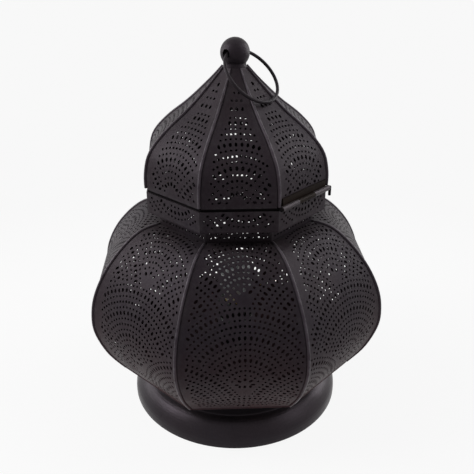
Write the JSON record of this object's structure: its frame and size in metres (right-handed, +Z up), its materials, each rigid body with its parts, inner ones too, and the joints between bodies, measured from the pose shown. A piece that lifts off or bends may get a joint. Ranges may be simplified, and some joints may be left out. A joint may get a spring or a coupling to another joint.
{
  "type": "lantern table lamp",
  "caption": "Octagonal pierced metal lantern table lamp with a hinged onion-shaped lid, a spun round foot and a carrying ring in the ball on top.",
  "frame": {"origin": "centre of the foot's resting face, at the middle of the footprint", "axes": "+Z up through the ball, -Y towards the front panel, the lid's hinge on the panel between -Y and +X"},
  "size_m": [0.1896, 0.1896, 0.2505],
  "materials": {
    "black_sheet": "matte black powder coat on pierced sheet steel",
    "black_spun": "satin black powder coat on spun steel",
    "hinge_steel": "black coated steel, worn on the knuckles",
    "zinc_steel": "bright zinc",
    "brass": "plain brass",
    "black_phenolic": "black moulded phenolic",
    "white_ceramic": "glazed white ceramic",
    "clear_glass": "clear glass",
    "felt": "black felt",
    "black_bush": "matte black nylon"
  },
  "bodies": {
    "lantern": {"body_panel_1": "black_sheet", "body_panel_2": "black_sheet", "body_panel_3": "black_sheet", "body_panel_4": "black_sheet", "body_panel_5": "black_sheet", "body_panel_6": "black_sheet", "body_panel_7": "black_sheet", "body_panel_8": "black_sheet", "body_rib_1": "black_sheet", "body_rib_2": "black_sheet", "body_rib_3": "black_sheet", "body_rib_4": "black_sheet", "body_rib_5": "black_sheet", "body_rib_6": "black_sheet", "body_rib_7": "black_sheet", "body_rib_8": "black_sheet", "foot": "black_spun", "base_cover": "felt", "floor_plate": "black_spun", "neck": "black_sheet", "collar": "black_sheet", "hinge_leaf_body": "hinge_steel", "hinge_pin": "hinge_steel", "lamp_nipple": "brass", "nipple_nut": "brass", "nipple_washer": "zinc_steel", "lampholder": "black_phenolic", "holder_contact": "white_ceramic", "bulb_glass": "clear_glass", "bulb_cap": "brass", "cable_bush": "black_bush"},
    "lid": {"lid_panel_1": "black_sheet", "lid_panel_2": "black_sheet", "lid_panel_3": "black_sheet", "lid_panel_4": "black_sheet", "lid_panel_5": "black_sheet", "lid_panel_6": "black_sheet", "lid_panel_7": "black_sheet", "lid_panel_8": "black_sheet", "lid_rib_1": "black_sheet", "lid_rib_2": "black_sheet", "lid_rib_3": "black_sheet", "lid_rib_4": "black_sheet", "lid_rib_5": "black_sheet", "lid_rib_6": "black_sheet", "lid_rib_7": "black_sheet", "lid_rib_8": "black_sheet", "hinge_leaf_lid": "hinge_steel", "lid_hem": "black_sheet", "lid_tongue": "zinc_steel", "finial_cap": "black_sheet", "finial_ball": "black_spun", "finial_stud": "zinc_steel", "finial_nut": "zinc_steel", "finial_washer": "zinc_steel"},
    "ring": {"carrying_ring": "black_spun"}
  },
  "joints": [
    {"name": "lid_hinge", "type": "hinge", "parent": "lantern", "child": "lid", "pos_m": [0.04052, -0.04052, 0.1639], "axis": [0.7071, 0.7071, 0], "range_deg": [0, 165]},
    {"name": "ring_swing", "type": "hinge", "parent": "lid", "child": "ring", "pos_m": [0, 0, 0.242], "axis": [-0.6561, -0.7547, 0], "range_deg": [0, 268]}
  ]
}
